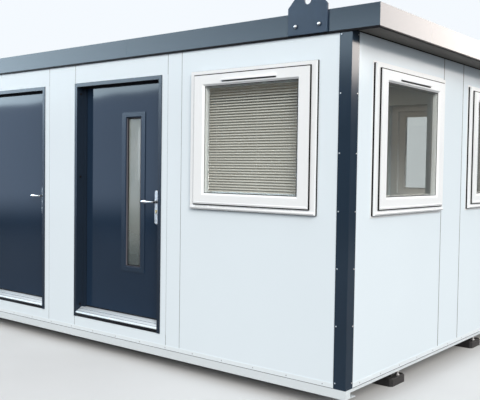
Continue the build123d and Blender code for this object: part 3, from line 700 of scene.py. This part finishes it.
for x in (-0.39, 0, 0.39):
    for y in (0.0655, 0.0845):
        cords.append(rod("cord", 0.0009, (x, y, -0.47), (x, y, 0.506), sides=6))
blind = gather("blind", [slat, rail, foot_rail] + cords)
front_blinds = set_on_walls("front_blinds", blind, window_spots[:2])
slat_paint = coat("slat_paint", (0.90, 0.90, 0.88), 0.35, spread=0.03, patch=0.3, relief=0.05)
front_blinds.data.materials.append(slat_paint)
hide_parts("front_window_blinds")
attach(front_blinds, "root")

# Door frames: folded and welded steel, stepped round the leaf, semi-gloss anthracite. Round
# black caps close the fixing holes in the reveals.
left_shift = -1.541
opening_left, opening_right = 0.2225, 1.2545


def another(piece, shift):
    """A copy of a piece with its own mesh, moved by a distance."""
    bpy.ops.object.select_all(action="DESELECT")
    piece.select_set(True)
    bpy.context.view_layer.objects.active = piece
    bpy.ops.object.duplicate(linked=False)
    bpy.ops.transform.translate(value=shift)
    settle()
    return bpy.context.object


def both_doors(name, piece):
    """The right-hand door's piece and its copy on the left-hand door as one piece."""
    return gather(name, [piece, another(piece, (left_shift, 0, 0))])


frame_paint = coat(
    "frame_anthracite", (0.015, 0.025, 0.042), 0.2, spread=0.06, patch=0.4, relief=0.05, shine=0.3,
)
dress(frame_paint, "right_door_frame", "left_door_frame")
caps = []
for x, way in ((0.222, 1), (1.255, -1)):
    for z in (0.385, 1.546, 2.290):
        caps.append(rod("cap", 0.011, (x, -1.655, z), (x + way * 0.003, -1.655, z), 20))
right_caps = gather("right_caps", caps)
ease(right_caps, 0.001)
reveal_caps = both_doors("reveal_caps", right_caps)
reveal_caps.data.materials.append(rubber_and_shade_black)
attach(reveal_caps, "root")

# Door seals: black bulb rubber on the back of the stops, against the closed leaf. A flat black strip
# over the underside and the stop's face of each head paints the deep shade there.
right_seal = hoop("right_seal", 0.2445, 1.2325, 0.3635, 2.3465, 0.0095, -0.0802, 0.0846, long_face)
ease(right_seal, 0.001)
left_seal = another(right_seal, (left_shift, 0, 0))
# Painted shade: black strips under each head and on its stop.
head_shade_strips = []
for shift in (0, left_shift):
    left, right = opening_left + shift, opening_right + shift
    head_shade_strips.append(block("head_shade_strip", (left, -1.6965, 2.3482), (right, -1.6275, 2.3496)))
    head_shade_strips.append(block("head_shade_strip", (left, -1.6292, 2.3366), (right, -1.6275, 2.3482)))
door_seals_and_head_shade = gather("door_seals_and_head_shade", [right_seal, left_seal] + head_shade_strips)
door_seals_and_head_shade.data.materials.append(rubber_and_shade_black)
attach(door_seals_and_head_shade, "root")

# Thresholds: extruded aluminium sills, bright where feet wear them, with a rounded front lip, a
# slope with two grooves and a raised back under the leaf. The grooves are dark blue-grey strips on
# the slope, painted shade.
lip_face, lip_height = -1.7018, 0.324
slope = math.tan(math.radians(30))
lip = block("lip", (0.2222, lip_face, 0.3122), (1.2548, -1.6262, 0.3618))
shave((0, lip_face, lip_height), (0, -0.5, 0.866))
ease(lip, 0.002)
back_bar = block("back_bar", (0.2552, -1.6262, 0.3122), (1.2218, -1.5602, 0.3618))
ease(back_bar, 0.002)
right_sill = gather("right_sill", [lip, back_bar])
grooves = []
for y in (-1.690, -1.662):
    z = lip_height + (y - lip_face) * slope
    grooves.append(block("groove", (0.2235, y, z - 0.001), (1.2535, y + 0.0030, z + 0.0020)))
sill_grooves = both_doors("sill_grooves", gather("right_grooves", grooves))
# Painted shade: the grooves are drawn as dark blue-grey strips.
groove_shade_grey = coat("groove_shade_grey", (0.10, 0.15, 0.21), 0.5, spread=0.1, patch=0.1)
sill_grooves.data.materials.append(groove_shade_grey)
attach(sill_grooves, "root")
sills = both_doors("threshold_sills", right_sill)
sill_metal = coat(
    "threshold_aluminium", (0.84, 0.92, 0.98), 0.34, spread=0.02, patch=0.4, metal=0.35, relief=0.03,
    shine=0.2,
)
sills.data.materials.append(sill_metal)
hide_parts("door_thresholds")
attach(sills, "root")

# Sill shade strips: black strips under each threshold's lip, in front of the frame's set-back foot,
# which paint the deep shade there.
right_shade_strip = block("right_shade_strip", (opening_left, -1.6955, 0.2835), (opening_right, -1.6922, 0.3112))
ease(right_shade_strip, 0.001)
sill_shade_strips = both_doors("sill_shade_strips", right_shade_strip)
sill_shade_strips.data.materials.append(rubber_and_shade_black)
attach(sill_shade_strips, "root")

# Door leaves: flat steel skins in semi-gloss anthracite. The right-hand leaf has a tall vision
# panel between bevelled mouldings: a sealed pane with a spacer round its edge, whose colour
# holds a painted reflection, pale grey in soft patches above and darker towards the bottom.
leaf_paint = coat(
    "leaf_anthracite", (0.014, 0.029, 0.056), 0.05, spread=0.06, patch=0.6, relief=0.01, shine=0.24,
)
dress(leaf_paint, "right_door_leaf", "left_door_leaf")
moulding = coat(
    "moulding_anthracite", (0.016, 0.031, 0.056), 0.16, spread=0.06, patch=0.2, relief=0.05, shine=0.32,
)
dress(moulding, "right_door_mouldings")
vision_gasket = hoop("vision_gasket", 0.781, 0.953, 0.7875, 2.0585, 0.003, -0.1002, 0.1038, long_face)
ease(vision_gasket, 0.0008)
vision_gasket.data.materials.append(rubber_and_shade_black)
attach(vision_gasket, "right_door")
vision_spacer = hoop("vision_spacer", 0.7825, 0.9515, 0.7890, 2.0570, 0.007, -0.1032, 0.1038, long_face)
vision_spacer.data.materials.append(rubber_and_shade_black)
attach(vision_spacer, "right_door")
vision_lining = hoop("vision_lining", 0.7812, 0.9528, 0.7877, 2.0583, 0.0014, -0.0840, 0.1030, long_face)
ease(vision_lining, 0.0005)
lining_grey = coat("lining_grey", (0.11, 0.11, 0.13), 0.7, spread=0.06, patch=0.1, relief=0.1, shine=0.05)
vision_lining.data.materials.append(lining_grey)
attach(vision_lining, "right_door")
glass_with_painted_reflection = bpy.data.materials.new("glass_with_painted_reflection")
glass_with_painted_reflection.use_nodes = True
tree = glass_with_painted_reflection.node_tree
shader = tree.nodes["Principled BSDF"]
shader.inputs["Alpha"].default_value = 0.6
shader.inputs["Roughness"].default_value = 0.08
place = tree.nodes.new("ShaderNodeTexCoord").outputs["Object"]
pane_patches = clouds(tree, place, 3.5, detail=3)
pale = tones(tree, pane_patches, (0.31, 0.35, 0.33, 1), (0.40, 0.43, 0.41, 1), 0.3, 0.7)
split = tree.nodes.new("ShaderNodeSeparateXYZ")
tree.links.new(place, split.inputs["Vector"])
# Painted reflection: the pane's colour darkens towards the bottom and is pale grey above.
painted_reflection = part_way(tree, climb(tree, split.outputs["Z"], 0.70, 1.42), (0.07, 0.10, 0.11, 1), pale)
tree.links.new(painted_reflection, shader.inputs["Base Color"])
dress(glass_with_painted_reflection, "right_door_glass")

# Lever sets: long brushed steel plates with a collar round each spindle, fixing screws and a brass
# lock cylinder. Each lever bends square at its neck and flares to a rounded blade that thins to
# a tip.
brushed = coat("brushed_steel", (0.52, 0.50, 0.49), 0.28, spread=0.05, patch=0.05, metal=1.0, grain=0.002)
draw_out(brushed, "Noise Texture.001", (1, 1, 0.03))
dress(brushed, "right_door_plates", "left_door_plates")
polished = coat("polished_steel", (0.60, 0.62, 0.66), 0.14, spread=0.04, patch=0.05, metal=1.0, relief=0.03)
brass = coat("lock_brass", (0.72, 0.52, 0.22), 0.25, spread=0.06, patch=0.02, metal=1.0)
lever_x, lever_height, lock_height = 1.155, 1.352, 1.277
plate_face, leaf_middle = -1.6140, -1.583
neck_back, neck_length, neck_radius, bend = -1.6145, 0.0285, 0.0093, 0.018
bend_start = neck_back - neck_length
blade = (
    (0.030, 1, 1), (0.018, 1, 1.12), (0.014, 0.95, 1.35), (0.014, 0.95, 1.12), (0.012, 0.92, 0.92),
    (0.012, 0.85, 0.72), (0.012, 0.7, 0.6), (0.0095, 0.45, 0.45),
)


def all_outward():
    """Turns all faces of the piece that is open for editing outwards."""
    bpy.ops.mesh.select_all(action="SELECT")
    bpy.ops.mesh.normals_make_consistent(inside=False)
    bpy.ops.object.mode_set(mode="OBJECT")


for side, shift in (("right", 0), ("left", left_shift)):
    x = lever_x + shift
    bpy.ops.object.select_all(action="DESELECT")
    bpy.ops.mesh.primitive_circle_add(
        vertices=20, radius=neck_radius, fill_type="NGON", location=(x, neck_back, lever_height),
        rotation=(math.pi / 2, 0, 0),
    )
    outer = bpy.context.object
    settle()
    bpy.ops.object.mode_set(mode="EDIT")
    bpy.ops.mesh.select_mode(type="FACE")
    bpy.ops.mesh.select_all(action="SELECT")
    bpy.ops.mesh.extrude_region_move(TRANSFORM_OT_translate={"value": (0, -neck_length, 0)})
    along = x - bend
    bpy.ops.mesh.spin(steps=6, angle=math.pi / 2, center=(along, bend_start, lever_height), axis=(0, 0, 1))
    for step, thick, tall in blade:
        along -= step
        bpy.ops.mesh.extrude_region_move(TRANSFORM_OT_translate={"value": (-step, 0, 0)})
        bpy.ops.transform.resize(
            value=(1, thick, tall), center_override=(along, bend_start - bend, lever_height),
        )
    bpy.ops.mesh.select_all(action="SELECT")
    bpy.ops.mesh.remove_doubles(threshold=0.00001)
    all_outward()
    full = outer.modifiers.new("full", "SUBSURF")
    full.levels = 1
    full.render_levels = 1
    bpy.ops.object.modifier_apply(modifier="full")
    inner = another(outer, (0, 0, 0))
    bpy.ops.transform.resize(value=(1, -1, 1), center_override=(0, leaf_middle, 0))
    settle()
    bpy.ops.object.mode_set(mode="EDIT")
    all_outward()
    spindle = rod("spindle", 0.005, (x, -1.616, lever_height), (x, -1.550, lever_height), 16)
    lever_pair = gather(side + "_levers", [outer, inner, spindle])
    ease(lever_pair, 0)
    lever_pair.data.materials.append(polished)
    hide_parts(side + "_door_levers")
    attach(lever_pair, side + "_lever")
    screws = []
    for screw_height in (1.435, 1.178):
        screw = head("screw", 0.0042, 0, 0.0012, sides=16)
        bpy.ops.object.select_all(action="DESELECT")
        screw.select_set(True)
        bpy.ops.transform.translate(value=(x, plate_face, screw_height))
        screws.append(screw)
    plate_screws = gather(side + "_plate_screws", screws)
    ease(plate_screws, 0)
    plate_screws.data.materials.append(nut_zinc)
    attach(plate_screws, side + "_door")
    collar_back, collar_front = (x, plate_face, lever_height), (x, plate_face - 0.0028, lever_height)
    collar = rod(side + "_lever_collar", 0.0168, collar_back, collar_front, 32)
    mark_faces(collar, lambda normal: abs(normal.y) > 0.9)
    bpy.ops.mesh.inset(thickness=0.0034, depth=0)
    bpy.ops.mesh.bridge_edge_loops()
    bpy.ops.object.mode_set(mode="OBJECT")
    ease(collar, 0.0006)
    collar.data.materials.append(brushed)
    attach(collar, side + "_door")
    barrel_back, barrel_front = -1.6138, -1.6185
    barrel = rod("barrel", 0.0085, (x, barrel_back, lock_height), (x, barrel_front, lock_height))
    mark_faces(barrel, faces_front)
    bpy.ops.mesh.inset(thickness=0.006, depth=0)
    bpy.ops.transform.resize(value=(0.4, 1, 1.5))
    bpy.ops.mesh.extrude_region_move(TRANSFORM_OT_translate={"value": (0, 0.003, 0)})
    bpy.ops.object.mode_set(mode="OBJECT")
    web = block("web", (x - 0.005, barrel_front, 1.2525), (x + 0.005, barrel_back, 1.272))
    ease(web, 0.0015)
    cylinder = gather(side + "_lock_cylinder", [barrel, web])
    ease(cylinder, 0)
    cylinder.data.materials.append(brass)
    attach(cylinder, side + "_door")

# Hinges: pinned steel butt hinges with a satin zinc finish, three to a leaf, on the inside of
# the leaf and of the frame.
zinc = coat("hinge_zinc", (0.45, 0.46, 0.48), 0.35, spread=0.08, patch=0.03, metal=1.0)
dress(zinc, "frame_hinges", "right_door_hinges", "left_door_hinges")

# Roof: an insulated panel under a ribbed grey sheet, with a pale lining board below. Round-headed
# screws hold the sheet along its ribs.
roof_grey = coat("roof_grey", (0.28, 0.31, 0.34), 0.6, spread=0.08, patch=0.8, relief=0.15, shine=0.08)
dress(roof_grey, "roof_sheet")
dress(panel_white, "roof_panel")
lining = coat("lining_board", (0.82, 0.83, 0.82), 0.5, spread=0.02, patch=0.8, relief=0.1)
dress(lining, "ceiling_lining")
rib_count, rib_pitch, rib_top = 19, 0.333, 2.702
screw = head("screw", 0.007, 0, 0.003, sides=10)
screw.rotation_euler = (-math.pi / 2, 0, 0)
settle()
screws = []
for number in range(rib_count):
    for y in (-1.55, -0.52, 0.52, 1.55):
        screws.append(another(screw, ((number - rib_count // 2) * rib_pitch, y, rib_top)))
bpy.data.objects.remove(screw)
roof_screws = gather("roof_screws", screws)
ease(roof_screws, 0)
roof_screws.data.materials.append(rivet_metal)
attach(roof_screws, "root")

# Fascia: folded anthracite channels round the roof edge in lengths with fine open joints, and a
# grey soffit board under the overhanging ends.
dress(anthracite, "fascia_long", "fascia_ends")
soffit_grey = coat("soffit_grey", (0.20, 0.185, 0.17), 0.6, spread=0.05, patch=0.5, relief=0.1, shine=0.15)
dress(soffit_grey, "soffits")

# Fascia shade strips: black strips along the foot of each fascia, against the wall and the soffit,
# and one where the soffit meets the end wall, which paint the shadow under the fascia's lip and in
# that corner.
shade_strips = []
for way in (-1, 1):
    near, far = sorted((way * 1.6905, way * 1.7026))
    shade_strips.append(block("seal", (-3.2355, near, 2.5440), (3.2355, far, 2.5590)))
    near, far = sorted((way * 3.2200, way * 3.2357))
    shade_strips.append(block("seal", (near, -1.7000, 2.5460), (far, 1.7000, 2.5572)))
    near, far = sorted((way * 3.0295, way * 3.0360))
    shade_strips.append(block("seal", (near, -long_face, 2.5530), (far, long_face, 2.5588)))
fascia_shade_strips = gather("fascia_shade_strips", shade_strips)
ease(fascia_shade_strips, 0.001)
fascia_shade_strips.data.materials.append(rubber_and_shade_black)
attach(fascia_shade_strips, "root")

# Lifting plates: thick shaped plates bolted through the fascia to the roof frame near each
# corner, each with a lifting eye above the roof and two bright domed nuts on painted washers.
plate_paint = coat(
    "plate_anthracite", (0.020, 0.038, 0.070), 0.34, spread=0.08, patch=0.1, relief=0.15, shine=0.3,
)
dress(plate_paint, "lifting_plates")
spots = []
for wall in ("front", "back"):
    spots += [(wall, way * along, 2.615) for way in (-1, 1) for along in (2.597, 2.788)]
washer = head("washer", 0.0170, 0.0240, 0.0030, sides=28, crown=0.1)
plate_washers = set_on_walls("plate_washers", washer, spots)
ease(plate_washers, 0)
plate_washers.data.materials.append(plate_paint)
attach(plate_washers, "root")
domed_nut = head("domed_nut", 0.0118, 0.0268, 0.0075, sides=24, crown=0.45)
plate_bolts = set_on_walls("plate_bolts", domed_nut, spots)
ease(plate_bolts, 0)
plate_bolts.data.materials.append(nut_zinc)
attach(plate_bolts, "root")
